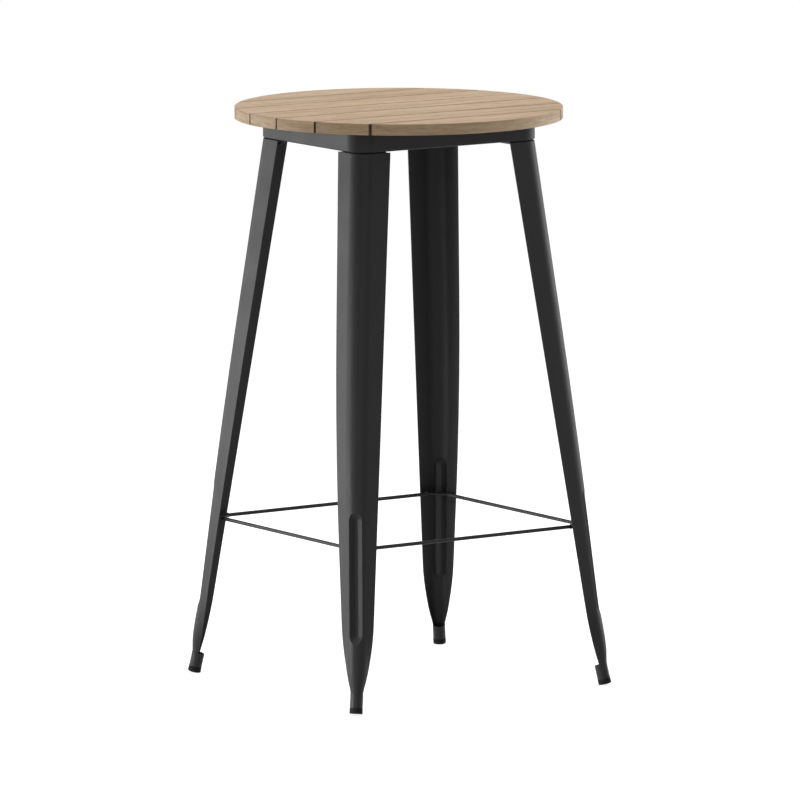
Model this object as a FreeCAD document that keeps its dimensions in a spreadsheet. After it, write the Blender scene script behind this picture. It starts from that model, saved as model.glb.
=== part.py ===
import FreeCAD, Part
import math
import os
import Sketcher

# Round bar table, in millimetres. +Z is up, X is the width along the planks, Y is the depth.
# The origin is on the floor under the middle of the top.

doc = FreeCAD.newDocument("bar_table")
Vector = FreeCAD.Vector
UP = Vector(0, 0, 1)

# Driving dimensions, in the order of the build from the top down
SIZES = [
    ("overall_height", 1066.8),
    ("top_radius", 301.625),
    ("plank_thickness", 20.6),
    ("plank_gap", 3.0),
    ("plank_edge_radius", 1.6),
    ("batten_thickness", 3.0),
    ("batten_width", 30.0),
    ("batten_spacing", 110.0),
    ("batten_end_margin", 12.0),
    ("batten_corner_radius", 5.0),
    ("plank_screw_radius", 1.9),
    ("plank_screw_head_radius", 3.9),
    ("plank_screw_length", 16.0),
    ("end_screw_shift", 25.8),
    ("next_screw_shift", 14.8),
    ("recess_reach", 2.1),
    ("recess_half_width", 0.45),
    ("recess_depth", 1.2),
    ("apron_half_width", 204.2),
    ("apron_half_depth", 168.5),
    ("apron_corner_radius", 36.0),
    ("apron_height", 36.2),
    ("apron_sheet", 1.8),
    ("apron_flange", 20.0),
    ("apron_hem", 4.0),
    ("apron_bend", 3.0),
    ("batten_screw_radius", 2.5),
    ("batten_screw_shift", 8.0),
    ("batten_screw_head_radius", 4.75),
    ("batten_screw_head_height", 2.4),
    ("corner_plate_thickness", 4.0),
    ("corner_plate_reach", 78.0),
    ("corner_plate_cut", 52.0),
    ("leg_plate_thickness", 5.0),
    ("leg_plate_inset", 3.0),
    ("leg_plate_cut", 38.0),
    ("leg_plate_land_inset", 8.0),
    ("shadow_gap", 2.0),
    ("leg_bolt_radius", 4.0),
    ("leg_bolt_near", 24.0),
    ("leg_bolt_far", 41.0),
    ("leg_bolt_flats", 13.0),
    ("leg_bolt_head_height", 5.3),
    ("leg_bolt_head_chamfer", 0.8),
    ("leg_bolt_tip", 1.5),
    ("leg_nut_height", 6.5),
    ("washer_radius", 8.0),
    ("washer_thickness", 1.6),
    ("leg_sheet", 2.0),
    ("leg_top_x", 201.0),
    ("leg_top_y", 167.9),
    ("leg_top_width", 68.4),
    ("leg_top_corner", 30.0),
    ("knee_height", 480.0),
    ("knee_x", 254.8),
    ("knee_y", 227.9),
    ("knee_width", 59.2),
    ("knee_corner", 29.8),
    ("ankle_height", 134.0),
    ("ankle_x", 278.4),
    ("ankle_y", 266.8),
    ("ankle_width", 40.8),
    ("ankle_corner", 22.0),
    ("closed_height", 40.0),
    ("knee_bend", 200.0),
    ("ankle_bend", 25.0),
    ("leg_end_flank", 1.5),
    ("groove_top", 364.0),
    ("groove_bottom", 129.0),
    ("groove_width", 32.0),
    ("groove_depth", 9.0),
    ("groove_wall_run", 13.0),
    ("foot_x", 277.1),
    ("foot_y", 268.9),
    ("tube_radius", 11.7),
    ("tube_sheet", 2.0),
    ("tube_length", 25.7),
    ("cap_radius", 12.0),
    ("cap_height", 10.3),
    ("cap_rim_radius", 0.8),
    ("cap_flat_depth", 0.6),
    ("cap_plug_length", 13.0),
    ("footrest_height", 295.5),
    ("footrest_x", 253.0),
    ("footrest_y", 234.7),
    ("rod_radius", 3.4),
    ("footrest_plate_thickness", 3.0),
    ("footrest_plate_inset", 5.5),
    ("seat_gap", 0.1),
    ("cut_overrun", 2.0),
    ("match_distance", 0.01),
]

PLANK_COUNT = 7
BATTEN_SIDES = {"left": -1, "middle": 0, "right": 1}

# How the plank screws stand off from the middle of their plank, by the plank's steps from the middle one
SCREW_SHIFTS = {2: "+ Sizes.next_screw_shift", 3: "- Sizes.end_screw_shift"}

# The foot tube's outward lean along X and along Y, as a share of its height
FOOT_LEAN_SHARE = 0.16

# Places of the leg's sections, as shares of the knee's bend and of the stretch that closes to a half round
KNEE_SHARES = (1.0, 0.5, 0.0, -0.5, -1.0)
CLOSING_SHARES = (0.0, 0.12, 0.24, 0.36, 0.5, 0.65, 0.82, 1.0)
ARC_SHARES = (0.0, 0.5, 1.0)

# Degrees: where the leg's corner points, and half of the corner's turn where the leg is open and closed
CORNER_HEADING = 45.0
OPEN_HALF_TURN = 45.0
CLOSED_HALF_TURN = 88.0

HEX_POINTS = 6
COUNTERSINK_TAPER = 45.0
DOME_TAPER = 40.0

sheet = doc.addObject("Spreadsheet::Sheet", "Sizes")
for row, (alias, value) in enumerate(SIZES, start=1):
    sheet.set(f"A{row}", alias)
    sheet.set(f"B{row}", str(value))
    sheet.setAlias(f"B{row}", alias)
doc.recompute()

PARTS = []


def size(name):
    """The number held in a cell of the sheet."""
    return float(getattr(sheet, name))


def measure(expression):
    """The number that an expression over the sheet comes to."""
    return float(sheet.evalExpression(str(expression)))


# Heights and planes that several pieces share
PLANK_UNDERSIDE = "(Sizes.overall_height - Sizes.plank_thickness)"
FLANGE_TOP = f"({PLANK_UNDERSIDE} - Sizes.batten_thickness)"
FLANGE_UNDERSIDE = f"({FLANGE_TOP} - Sizes.apron_sheet)"
APRON_BOTTOM = f"({FLANGE_TOP} - Sizes.apron_height)"
CORNER_PLATE_TOP = f"({APRON_BOTTOM} + Sizes.corner_plate_thickness)"
LEG_PLATE_UNDERSIDE = f"({APRON_BOTTOM} - Sizes.leg_plate_thickness)"
WASHER_UNDERSIDE = f"({LEG_PLATE_UNDERSIDE} - Sizes.washer_thickness)"
LEG_TOP = f"({APRON_BOTTOM} - Sizes.shadow_gap)"
FLANGE_MIDDLE_Y = "(Sizes.apron_half_depth - Sizes.apron_flange / 2)"
PLANK_PITCH = f"((2 * Sizes.top_radius + Sizes.plank_gap) / {PLANK_COUNT})"
END_STEPS = (PLANK_COUNT - 1) // 2
BATTEN_HALF_LENGTH = f"({END_STEPS} * {PLANK_PITCH} - Sizes.end_screw_shift + Sizes.batten_end_margin)"


def keep(part, label):
    """Names a finished sub-part and puts it on the list to be written."""
    part.Label = label
    PARTS.append(part)
    return part


def new_body(name):
    """An empty body that may hold several solids."""
    body = doc.addObject("PartDesign::Body", name)
    body.AllowCompound = True
    return body


def sketch_on(body, name, height=0, role="XY_Plane"):
    """A sketch on one of the body's own planes, moved along its normal by an expression."""
    plane = next(item for item in body.Origin.OriginFeatures if item.Role == role)
    sketch = body.newObject("Sketcher::SketchObject", f"{body.Name}_{name}")
    sketch.AttachmentSupport = [(plane, "")]
    sketch.MapMode = "FlatFace"
    sketch.setExpression("AttachmentOffset.Base.z", str(height))
    return sketch


def bind_radius(sketch, geometry, expression):
    """Holds an arc's or a circle's radius to an expression."""
    index = sketch.addConstraint(Sketcher.Constraint("Radius", geometry, measure(expression)))
    sketch.setExpression(f"Constraints[{index}]", str(expression))


def bind_point(sketch, geometry, point, place):
    """Holds a point of the sketch to a pair of expressions, counted from the origin."""
    for kind, expression in zip(("DistanceX", "DistanceY"), place):
        index = sketch.addConstraint(Sketcher.Constraint(kind, -1, 1, geometry, point, measure(expression)))
        sketch.setExpression(f"Constraints[{index}]", str(expression))


def arc_between(start, end, radius):
    """The arc that bulges to the right of the way from start to end, as an anticlockwise outline does."""
    half = (end - start) * 0.5
    inwards = Vector(-half.y, half.x, 0).normalize()
    centre = start + half + inwards * math.sqrt(max(radius ** 2 - half.Length ** 2, 0))
    angles = [math.atan2(spot.y - centre.y, spot.x - centre.x) for spot in (start, end)]
    return Part.ArcOfCircle(Part.Circle(centre, UP, radius), angles[0], angles[1])


def draw_outline(sketch, places, rounds=None):
    """A closed anticlockwise outline; rounds gives the radius of each edge that is an arc."""
    rounds = rounds or {}
    spots = [Vector(measure(x), measure(y), 0) for x, y in places]
    first = sketch.GeometryCount
    for number, start in enumerate(spots):
        end = spots[(number + 1) % len(spots)]
        if number in rounds:
            sketch.addGeometry(arc_between(start, end, measure(rounds[number])), False)
        else:
            sketch.addGeometry(Part.LineSegment(start, end), False)
    for number, place in enumerate(places):
        following = first + (number + 1) % len(places)
        sketch.addConstraint(Sketcher.Constraint("Coincident", first + number, 2, following, 1))
        bind_point(sketch, first + number, 1, place)
    for number, radius in rounds.items():
        bind_radius(sketch, first + number, radius)


def draw_circles(sketch, places, radius):
    """One circle of the given radius at each place."""
    for place in places:
        centre = Vector(measure(place[0]), measure(place[1]), 0)
        geometry = sketch.addGeometry(Part.Circle(centre, UP, measure(radius)), False)
        bind_point(sketch, geometry, 3, place)
        bind_radius(sketch, geometry, radius)


def pad(body, sketch, length, taper=0):
    """Raises the sketch; a taper above zero spreads the sides."""
    feature = body.newObject("PartDesign::Pad", f"{sketch.Name}_pad")
    feature.Profile = sketch
    feature.setExpression("Length", str(length))
    feature.TaperAngle = taper
    doc.recompute()
    return feature


def pocket(body, sketch, length, upwards=False, taper=0):
    """Cuts along the sketch's normal or against it, and has to take something away."""
    before = body.Shape.Volume
    feature = body.newObject("PartDesign::Pocket", f"{sketch.Name}_cut")
    feature.Profile = sketch
    feature.Reversed = upwards
    feature.setExpression("Length", str(length))
    feature.TaperAngle = taper
    doc.recompute()
    if not body.Shape.Volume < before:
        raise RuntimeError(f"{feature.Name} cuts nothing")
    return feature


def edges_at(feature, height):
    """Names of the feature's edges that lie level at a height."""
    near = size("match_distance")
    boxes = [(f"Edge{number}", edge.BoundBox) for number, edge in enumerate(feature.Shape.Edges, start=1)]
    return [name for name, box in boxes if box.ZLength < near and abs(box.ZMin - height) < near]


def round_edges(body, feature, names, radius):
    """Rounds the named edges of a feature."""
    fillet = body.newObject("PartDesign::Fillet", f"{feature.Name}_round")
    fillet.Base = (feature, names)
    fillet.setExpression("Radius", radius)
    doc.recompute()
    return fillet


def rounded_rectangle(half_x, half_y, radius):
    """Places and rounds of a rectangle about the origin with rounded corners."""
    places = [
        (f"-({half_x} - {radius})", f"-{half_y}"), (f"{half_x} - {radius}", f"-{half_y}"),
        (half_x, f"-({half_y} - {radius})"), (half_x, f"{half_y} - {radius}"),
        (f"{half_x} - {radius}", half_y), (f"-({half_x} - {radius})", half_y),
        (f"-{half_x}", f"{half_y} - {radius}"), (f"-{half_x}", f"-({half_y} - {radius})"),
    ]
    return places, {1: radius, 3: radius, 5: radius, 7: radius}


def mirrored(source, name, across):
    """A mirror image of a part across the planes named by their normals."""
    for axis in across:
        image = doc.addObject("Part::Mirroring", f"{name}_{axis}")
        image.Source = source
        image.Normal = Vector(1, 0, 0) if axis == "x" else Vector(0, 1, 0)
        source = image
    doc.recompute()
    return source


CORNERS = {"back_right": "", "back_left": "x", "front_right": "y", "front_left": "xy"}


def keep_at_corners(master, label):
    """Keeps a part of the back right corner and its three mirror images."""
    for corner, across in CORNERS.items():
        keep(mirrored(master, f"{label}_{corner}", across) if across else master, f"{label}_{corner}")


def keep_group(master, label):
    """Keeps the small parts of the back right corner and their mirror images as one group."""
    group = doc.addObject("Part::Compound", label)
    group.Links = [mirrored(master, f"{label}_{corner}", across) if across else master
                   for corner, across in CORNERS.items()]
    doc.recompute()
    keep(group, label)


# The top: planks, battens and what holds them

def screw_places(side):
    """Places of the screws that hold one batten to the planks, one for each plank from the front."""
    x = f"({side} * Sizes.batten_spacing)"
    places = []
    for steps in range(-END_STEPS, END_STEPS + 1):
        away = f"({abs(steps)} * {PLANK_PITCH} {SCREW_SHIFTS.get(abs(steps), '')})"
        places.append((x, f"({-1 if steps < 0 else 1} * {away})"))
    return places


def make_plank(number):
    """One plank of the round top, rounded along its upper edges, with pilot holes below."""
    body = new_body(f"plank_{number}")
    low = f"(-Sizes.top_radius + {number - 1} * {PLANK_PITCH})"
    high = f"({low} + {PLANK_PITCH} - Sizes.plank_gap)"
    low_x = f"sqrt(Sizes.top_radius ^ 2 - {low} ^ 2)"
    high_x = f"sqrt(Sizes.top_radius ^ 2 - {high} ^ 2)"
    if number == 1:
        places = [(high_x, high), (f"-{high_x}", high)]
        rounds = {1: "Sizes.top_radius"}
    elif number == PLANK_COUNT:
        places = [(f"-{low_x}", low), (low_x, low)]
        rounds = {1: "Sizes.top_radius"}
    else:
        places = [(f"-{low_x}", low), (low_x, low), (high_x, high), (f"-{high_x}", high)]
        rounds = {1: "Sizes.top_radius", 3: "Sizes.top_radius"}
    outline = sketch_on(body, "outline", PLANK_UNDERSIDE)
    draw_outline(outline, places, rounds)
    board = pad(body, outline, "Sizes.plank_thickness")
    round_edges(body, board, edges_at(board, size("overall_height")), "Sizes.plank_edge_radius")
    pilots = sketch_on(body, "pilots", PLANK_UNDERSIDE)
    places = [screw_places(side)[number - 1] for side in BATTEN_SIDES.values()]
    draw_circles(pilots, places, "Sizes.plank_screw_radius + Sizes.seat_gap")
    depth = "Sizes.plank_screw_length - Sizes.batten_thickness + Sizes.seat_gap"
    pocket(body, pilots, depth, upwards=True)
    keep(body, f"plank_{number}")


def make_batten(side_name, side):
    """A flat steel bar across the planks, countersunk from below, on the apron's flange."""
    body = new_body(f"batten_{side_name}")
    outline = sketch_on(body, "outline", FLANGE_TOP)
    middle = f"({side} * Sizes.batten_spacing)"
    places, rounds = rounded_rectangle("(Sizes.batten_width / 2)", BATTEN_HALF_LENGTH,
                                       "Sizes.batten_corner_radius")
    draw_outline(outline, [(f"({x}) + {middle}", y) for x, y in places], rounds)
    pad(body, outline, "Sizes.batten_thickness")
    holes = sketch_on(body, "holes", FLANGE_TOP)
    draw_circles(holes, screw_places(side), "Sizes.plank_screw_radius + Sizes.seat_gap")
    pocket(body, holes, "Sizes.batten_thickness", upwards=True)
    sinks = sketch_on(body, "sinks", FLANGE_TOP)
    draw_circles(sinks, screw_places(side), "Sizes.plank_screw_head_radius + Sizes.seat_gap")
    depth = "Sizes.plank_screw_head_radius - Sizes.plank_screw_radius"
    pocket(body, sinks, depth, upwards=True, taper=-COUNTERSINK_TAPER)
    threads = sketch_on(body, "threads", FLANGE_TOP)
    draw_circles(threads, batten_screw_places(side), "Sizes.batten_screw_radius + Sizes.seat_gap")
    pocket(body, threads, "Sizes.batten_thickness", upwards=True)
    keep(body, f"batten_{side_name}")


def batten_screw_places(side):
    """Where one batten is screwed to the flange, by two screws at the front and two at the back."""
    middle = f"{side} * Sizes.batten_spacing"
    return [(f"({middle} {sign} Sizes.batten_screw_shift)", f"({end} * {FLANGE_MIDDLE_Y})")
            for end in (-1, 1) for sign in ("-", "+")]


def cut_recesses(body, places, height):
    """A cross recess in each screw head, cut upwards from the head's underside."""
    for turn, (reach_x, reach_y) in enumerate((("Sizes.recess_reach", "Sizes.recess_half_width"),
                                               ("Sizes.recess_half_width", "Sizes.recess_reach"))):
        slots = sketch_on(body, f"recess_{turn}", height)
        for x, y in places:
            left, right = f"{x} - {reach_x}", f"{x} + {reach_x}"
            low, high = f"{y} - {reach_y}", f"{y} + {reach_y}"
            draw_outline(slots, [(left, low), (right, low), (right, high), (left, high)])
        pocket(body, slots, "Sizes.recess_depth", upwards=True)


def make_plank_screws():
    """Countersunk screws up through the battens into the planks."""
    body = new_body("plank_screws")
    places = [place for side in BATTEN_SIDES.values() for place in screw_places(side)]
    heads = sketch_on(body, "heads", FLANGE_TOP)
    draw_circles(heads, places, "Sizes.plank_screw_head_radius")
    pad(body, heads, "Sizes.plank_screw_head_radius - Sizes.plank_screw_radius", -COUNTERSINK_TAPER)
    shanks = sketch_on(body, "shanks", FLANGE_TOP)
    draw_circles(shanks, places, "Sizes.plank_screw_radius")
    pad(body, shanks, "Sizes.plank_screw_length")
    cut_recesses(body, places, FLANGE_TOP)
    keep(body, "plank_screws")


def make_batten_screws():
    """Domed screws up through the apron's flange into the battens."""
    body = new_body("batten_screws")
    places = [place for side in BATTEN_SIDES.values() for place in batten_screw_places(side)]
    shanks = sketch_on(body, "shanks", FLANGE_UNDERSIDE)
    draw_circles(shanks, places, "Sizes.batten_screw_radius")
    pad(body, shanks, "Sizes.apron_sheet + Sizes.batten_thickness")
    crown = f"({FLANGE_UNDERSIDE} - Sizes.batten_screw_head_height)"
    heads = sketch_on(body, "heads", crown)
    draw_circles(heads, places, "Sizes.batten_screw_head_radius - Sizes.batten_screw_head_height")
    pad(body, heads, "Sizes.batten_screw_head_height", DOME_TAPER)
    cut_recesses(body, places, crown)
    keep(body, "batten_screws")


# The apron and its corners

def inset_ring(inset):
    """Places and rounds of the apron's outline moved inwards."""
    return rounded_rectangle(f"(Sizes.apron_half_width - {inset})", f"(Sizes.apron_half_depth - {inset})",
                             f"(Sizes.apron_corner_radius - {inset})")


def make_apron():
    """A pressed ring with a flange turned in on top for the battens, and a narrow hem turned in below."""
    body = new_body("apron_frame")
    outline = sketch_on(body, "outline", APRON_BOTTOM)
    draw_outline(outline, *inset_ring(0))
    block = pad(body, outline, "Sizes.apron_height")
    bent = round_edges(body, block, edges_at(block, measure(FLANGE_TOP)), "Sizes.apron_bend")
    round_edges(body, bent, edges_at(bent, measure(APRON_BOTTOM)), "Sizes.apron_bend")
    hollow = sketch_on(body, "hollow", f"{APRON_BOTTOM} + Sizes.apron_sheet")
    draw_outline(hollow, *inset_ring("Sizes.apron_sheet"))
    pocket(body, hollow, "Sizes.apron_height - 2 * Sizes.apron_sheet", upwards=True)
    opening = sketch_on(body, "opening", FLANGE_TOP)
    draw_outline(opening, *inset_ring("Sizes.apron_flange"))
    pocket(body, opening, "Sizes.apron_sheet")
    mouth = sketch_on(body, "mouth", APRON_BOTTOM)
    draw_outline(mouth, *inset_ring("Sizes.apron_hem"))
    pocket(body, mouth, "Sizes.apron_sheet", upwards=True)
    holes = sketch_on(body, "holes", FLANGE_TOP)
    places = [place for side in BATTEN_SIDES.values() for place in batten_screw_places(side)]
    draw_circles(holes, places, "Sizes.batten_screw_radius + Sizes.seat_gap")
    pocket(body, holes, "Sizes.apron_sheet")
    keep(body, "apron_frame")


def corner_outline(x, y, reach, cut, radius):
    """Places and rounds of a plate that fills a rounded corner and is cut off across its inner corner."""
    places = [
        (x, f"{y} - {reach}"), (x, f"{y} - {radius}"), (f"{x} - {radius}", y),
        (f"{x} - {reach}", y), (f"{x} - {reach}", f"{y} - {cut}"), (f"{x} - {cut}", f"{y} - {reach}"),
    ]
    return places, {1: radius}


LEG_BOLT_PLACES = [
    ("Sizes.leg_top_x - Sizes.leg_bolt_near", "Sizes.leg_top_y - Sizes.leg_bolt_far"),
    ("Sizes.leg_top_x - Sizes.leg_bolt_far", "Sizes.leg_top_y - Sizes.leg_bolt_near"),
]


def make_corner_plate():
    """The plate welded inside the hem, flush with its underside, that a leg is bolted to."""
    body = new_body("corner_plate")
    outline = sketch_on(body, "outline", APRON_BOTTOM)
    wall = "(Sizes.apron_hem + Sizes.seat_gap)"
    draw_outline(outline, *corner_outline(f"(Sizes.apron_half_width - {wall})",
                                          f"(Sizes.apron_half_depth - {wall})",
                                          "Sizes.corner_plate_reach", "Sizes.corner_plate_cut",
                                          f"(Sizes.apron_corner_radius - {wall})"))
    pad(body, outline, "Sizes.corner_plate_thickness")
    holes = sketch_on(body, "holes", APRON_BOTTOM)
    draw_circles(holes, LEG_BOLT_PLACES, "Sizes.leg_bolt_radius + Sizes.seat_gap")
    pocket(body, holes, "Sizes.corner_plate_thickness", upwards=True)
    keep_at_corners(body, "corner_plate")


def make_leg_plate():
    """The plate welded inside the leg's upper end, with a narrower land that stands above the leg."""
    body = new_body("leg_plate")
    steps = (("seat", 0, "(Sizes.leg_plate_thickness - Sizes.shadow_gap)"),
             ("land", "Sizes.leg_plate_land_inset", "Sizes.leg_plate_thickness"))
    for step, inset, height in steps:
        outline = sketch_on(body, step, LEG_PLATE_UNDERSIDE)
        wall = f"(Sizes.leg_sheet + Sizes.seat_gap + {inset})"
        draw_outline(outline, *corner_outline(f"(Sizes.leg_top_x - {wall})", f"(Sizes.leg_top_y - {wall})",
                                              f"(Sizes.leg_top_width - {wall} - Sizes.leg_plate_inset)",
                                              f"(Sizes.leg_plate_cut - {inset})",
                                              f"(Sizes.leg_top_corner - {wall})"))
        pad(body, outline, height)
    holes = sketch_on(body, "holes", LEG_PLATE_UNDERSIDE)
    draw_circles(holes, LEG_BOLT_PLACES, "Sizes.leg_bolt_radius + Sizes.seat_gap")
    pocket(body, holes, "Sizes.leg_plate_thickness", upwards=True)
    keep_at_corners(body, "leg_plate")


def hexagon(place, flats):
    """Places of a hexagon's points, from its width across the flats."""
    turns = [2 * math.pi * step / HEX_POINTS for step in range(HEX_POINTS)]
    reach = f"{flats} / (2 * cos({180 / HEX_POINTS}))"
    return [(f"{place[0]} + {reach} * {math.cos(turn):.6f}", f"{place[1]} + {reach} * {math.sin(turn):.6f}")
            for turn in turns]


def make_leg_bolts():
    """Hexagon bolts from below, the washers under their heads and the nuts welded on the corner plates."""
    body = new_body("bolt_pair")
    shanks = sketch_on(body, "shanks", WASHER_UNDERSIDE)
    draw_circles(shanks, LEG_BOLT_PLACES, "Sizes.leg_bolt_radius")
    pad(body, shanks, f"{CORNER_PLATE_TOP} + Sizes.leg_nut_height + Sizes.leg_bolt_tip - {WASHER_UNDERSIDE}")
    below = f"({WASHER_UNDERSIDE} - Sizes.leg_bolt_head_height)"
    heads = sketch_on(body, "heads", f"{below} + Sizes.leg_bolt_head_chamfer")
    chamfers = sketch_on(body, "chamfers", below)
    for place in LEG_BOLT_PLACES:
        draw_outline(heads, hexagon(place, "Sizes.leg_bolt_flats"))
        draw_outline(chamfers, hexagon(place, "(Sizes.leg_bolt_flats - 2 * Sizes.leg_bolt_head_chamfer)"))
    pad(body, heads, "Sizes.leg_bolt_head_height - Sizes.leg_bolt_head_chamfer")
    pad(body, chamfers, "Sizes.leg_bolt_head_chamfer", COUNTERSINK_TAPER)
    keep_group(body, "leg_bolts")
    rings = new_body("washer_pair")
    outline = sketch_on(rings, "outline", WASHER_UNDERSIDE)
    draw_circles(outline, LEG_BOLT_PLACES, "Sizes.washer_radius")
    draw_circles(outline, LEG_BOLT_PLACES, "Sizes.leg_bolt_radius + Sizes.seat_gap")
    pad(rings, outline, "Sizes.washer_thickness")
    keep_group(rings, "leg_washers")
    nuts = new_body("nut_pair")
    outline = sketch_on(nuts, "outline", CORNER_PLATE_TOP)
    for place in LEG_BOLT_PLACES:
        draw_outline(outline, hexagon(place, "Sizes.leg_bolt_flats"))
    draw_circles(outline, LEG_BOLT_PLACES, "Sizes.leg_bolt_radius + Sizes.seat_gap")
    pad(nuts, outline, "Sizes.leg_nut_height")
    keep_group(nuts, "leg_nuts")


# The legs: a pressed strip whose section is followed from its rounded corner to both of its edges

def blend(start, end, share):
    """The value at a share of the way from start to end."""
    return start + (end - start) * share


def heading(turn):
    """A level unit vector at an angle from the X axis."""
    return Vector(math.cos(turn), math.sin(turn), 0)


def bend_ramp(distance, reach):
    """Grows from nothing to the distance itself, and bends smoothly within the reach of zero."""
    if abs(distance) >= reach:
        return max(distance, 0)
    return (distance + reach) ** 2 / (4 * reach)


def leg_station(height):
    """Corner, width and corner radius of the open part of the leg at a height."""
    top, knee, ankle = measure(LEG_TOP), size("knee_height"), size("ankle_height")
    values = []
    for kind in ("x", "y", "width", "corner"):
        upper = (size(f"leg_top_{kind}") - size(f"knee_{kind}")) / (top - knee)
        lower = (size(f"knee_{kind}") - size(f"ankle_{kind}")) / (knee - ankle)
        bend = bend_ramp(height - knee, size("knee_bend"))
        values.append(size(f"knee_{kind}") + lower * (height - knee) + (upper - lower) * bend)
    return values


def foot_axis():
    """A unit vector up along the foot tube."""
    return Vector(-FOOT_LEAN_SHARE, -FOOT_LEAN_SHARE, 1).normalize()


def foot_base():
    """The middle of the rubber cap's lower face."""
    rise = size("cap_radius") * math.sin(math.acos(foot_axis().z))
    return Vector(size("foot_x"), size("foot_y"), rise - size("cap_flat_depth"))


def tube_top():
    """The middle of the foot tube's upper rim."""
    return foot_base() + foot_axis() * (size("cap_height") + size("tube_length"))


def tube_centre(height):
    """The foot tube's axis at a height, also above its end."""
    base = foot_base()
    return base + foot_axis() * ((height - base.z) / foot_axis().z)


def half_strip(section, inset, side):
    """The corner's arc and the flank on one side of the section's middle, moved inwards by inset."""
    centre, radius, half_turn, flank = section
    middle = math.radians(CORNER_HEADING)
    start, bulge, end = (centre + heading(middle + side * half_turn * share) * (radius - inset)
                         for share in ARC_SHARES)
    edge = end + heading(middle + side * (half_turn + math.pi / 2)) * flank
    return [(start, bulge, end), (end, None, edge)]


def skin(section, inset):
    """The runs along one face of a whole section, from one edge of the strip to the other."""
    right = half_strip(section, inset, -1)
    return [(end, bulge, start) for start, bulge, end in reversed(right)] + half_strip(section, inset, 1)


def closed_wire(runs):
    """A wire of lines and arcs, closed by a line from its end to its start."""
    runs = runs + [(runs[-1][2], None, runs[0][0])]
    return Part.Wire([Part.makeLine(start, end) if bulge is None else Part.Arc(start, bulge, end).toShape()
                      for start, bulge, end in runs])


def strip_wire(section):
    """The closed wire of one section of the strip."""
    outside = skin(section, 0)
    inside = [(end, bulge, start) for start, bulge, end in reversed(skin(section, size("leg_sheet")))]
    return closed_wire(outside + [(outside[-1][2], None, inside[0][0])] + inside)


def core_wire(section):
    """The closed wire of the space that the middle of the strip's thickness encloses."""
    return closed_wire(skin(section, size("leg_sheet") / 2))


def leg_section(height):
    """Centre, corner radius, half of the corner's turn and flank of the leg's section at a height."""
    x, y, width, corner = leg_station(height)
    ankle, closed_height = size("ankle_height"), size("closed_height")
    closing = bend_ramp(ankle - height, size("ankle_bend")) / (ankle - closed_height)
    last_x, last_y, _, last_corner = leg_station(closed_height)
    shift = tube_centre(closed_height) - Vector(last_x - last_corner, last_y - last_corner, closed_height)
    centre = Vector(x - corner, y - corner, height) + shift * closing
    radius = blend(corner, size("tube_radius"), closing ** 3)
    half_turn = math.radians(blend(OPEN_HALF_TURN, CLOSED_HALF_TURN, closing))
    return centre, radius, half_turn, blend(width - corner, size("leg_end_flank"), closing)


def leg_stretches():
    """Sections of the leg's four stretches from the top down, each with whether it is straight."""
    knee, bend = size("knee_height"), size("knee_bend")
    opened = size("ankle_height") + size("ankle_bend")
    knee_bend = [leg_section(knee + bend * share) for share in KNEE_SHARES]
    closing = [leg_section(blend(opened, size("closed_height"), share)) for share in CLOSING_SHARES]
    end = tube_centre(tube_top().z - size("tube_radius"))
    closing.append((end, *closing[-1][1:]))
    return [
        ([leg_section(measure(LEG_TOP)), knee_bend[0]], True),
        (knee_bend, False),
        ([knee_bend[-1], closing[0]], True),
        (closing, False),
    ]


def leg_loft(wire_of):
    """The solid through the leg's sections, each drawn by the function given."""
    stretches = [Part.makeLoft([wire_of(section) for section in sections], True, straight)
                 for sections, straight in leg_stretches()]
    return stretches[0].fuse(stretches[1:])


def groove_frame():
    """The middle of the groove on the leg's outer corner, its way up the leg and its way inwards."""
    ends = []
    outwards = heading(math.radians(CORNER_HEADING))
    for height in (size("groove_bottom"), size("groove_top")):
        x, y, _, corner = leg_station(max(height, size("ankle_height")))
        ends.append(Vector(x - corner, y - corner, height) + outwards * corner)
    up = (ends[1] - ends[0]).normalize()
    inwards = (up * outwards.dot(up) - outwards).normalize()
    return (ends[0] + ends[1]) * 0.5, (ends[1] - ends[0]).Length, up, inwards


def stadium(middle, across, up, half_width, half_length):
    """A long hole's outline: two straight sides and two half rounds."""
    straight = half_length - half_width
    right, left = middle + across * half_width, middle - across * half_width
    edges = [
        Part.makeLine(right - up * straight, right + up * straight),
        Part.Arc(right + up * straight, middle + up * half_length, left + up * straight).toShape(),
        Part.makeLine(left + up * straight, left - up * straight),
        Part.Arc(left - up * straight, middle - up * half_length, right - up * straight).toShape(),
    ]
    return Part.Wire(edges)


def groove_tool(grow):
    """The groove's space with its walls and floor moved out by grow, and run out past the corner."""
    middle, length, up, inwards = groove_frame()
    across = up.cross(inwards)
    run, depth = size("groove_wall_run"), size("groove_depth")
    slope = run / depth
    wider = grow * math.hypot(run, depth) / depth
    half_width, half_length = size("groove_width") / 2 + wider, length / 2 + wider
    ends = []
    for deep in (-size("cut_overrun"), depth + grow):
        centre, inset = middle + inwards * deep, deep * slope
        ends.append(stadium(centre, across, up, half_width - inset, half_length - inset))
    return Part.makeLoft(ends, True, True)


def make_leg():
    """The pressed leg: its loft, the groove with its raised back, and the slanted lower end."""
    strip = leg_loft(strip_wire)
    space = leg_loft(core_wire)
    groove = groove_tool(0)
    back = groove_tool(size("leg_sheet")).common(space)
    shape = strip.fuse(back).cut(groove)
    reach = size("ankle_height")
    below = Part.makeBox(reach, reach, reach, Vector(-reach / 2, -reach / 2, -reach))
    below.Placement = FreeCAD.Placement(tube_top(), FreeCAD.Rotation(UP, foot_axis()))
    shape = shape.cut(below)
    leg = doc.addObject("Part::Feature", "leg")
    leg.Shape = shape.removeSplitter()
    keep_at_corners(leg, "leg")


# The feet

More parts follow.
